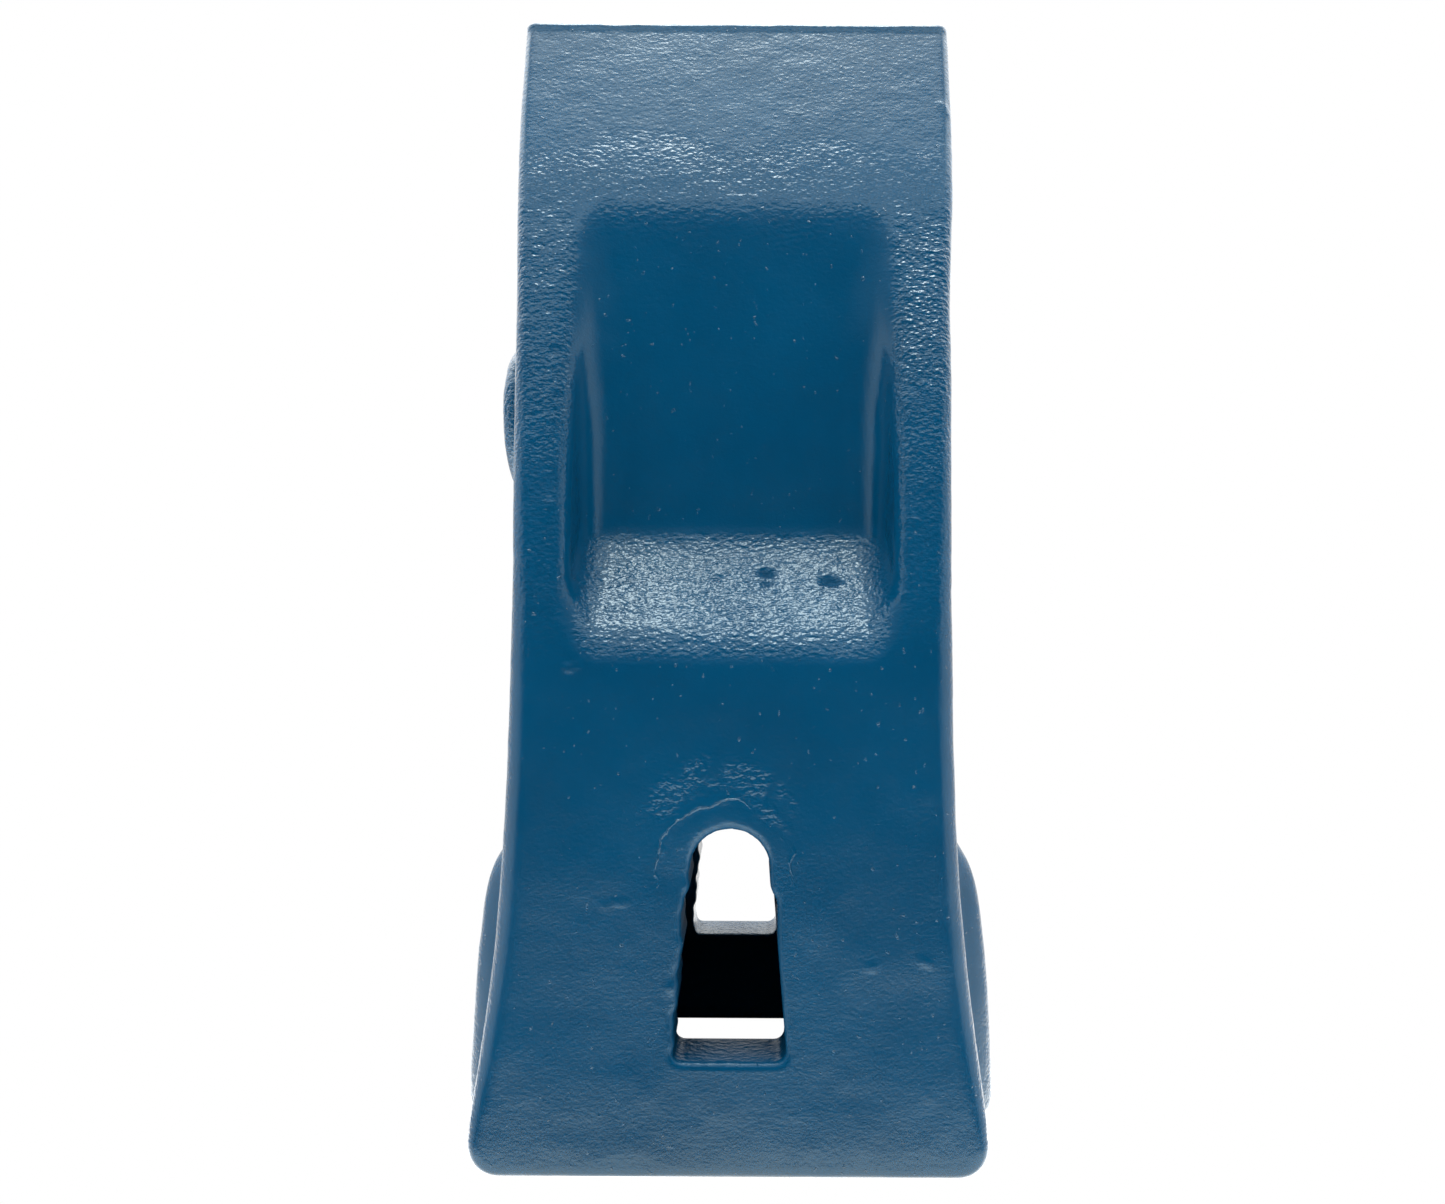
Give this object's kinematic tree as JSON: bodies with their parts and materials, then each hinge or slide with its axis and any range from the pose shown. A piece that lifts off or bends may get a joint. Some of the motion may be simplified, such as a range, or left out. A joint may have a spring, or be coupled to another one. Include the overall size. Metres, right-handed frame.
{
  "type": "excavator bucket tooth",
  "caption": "Rock-chisel bucket tooth with a keyhole lock slot through its box section, and the laminated flex pin that locks it on.",
  "frame": {"origin": "centre of the socket's mouth, on the plane of its rim, which the tooth stands on", "axes": "+Z from the mouth to the cutting edge, X across the tooth's width, Y through the lock slot, with the lock pin started from the +Y side"},
  "size_m": [0.1488, 0.2125, 0.315],
  "materials": {
    "painted_casting": "gloss blue enamel over a sand-cast skin",
    "pin_steel": "rolled, lightly oiled",
    "pin_rubber": "matt"
  },
  "bodies": {
    "tooth": {"tooth_point": "painted_casting"},
    "pin": {"pin_front_half": "pin_steel", "pin_rubber_core": "pin_rubber"},
    "pin_sprung_half": {"pin_rear_half": "pin_steel"}
  },
  "joints": [
    {"name": "pin_drive", "type": "slide", "parent": "tooth", "child": "pin", "axis": [0, -1, 0], "range_m": [-0.014, 0.098]},
    {"name": "pin_squeeze", "type": "slide", "parent": "pin", "child": "pin_sprung_half", "axis": [0, 0, 1], "range_m": [0, 0.0012], "stiffness_N_per_m": 12000, "deforming": ["pin_rubber_core"]}
  ]
}
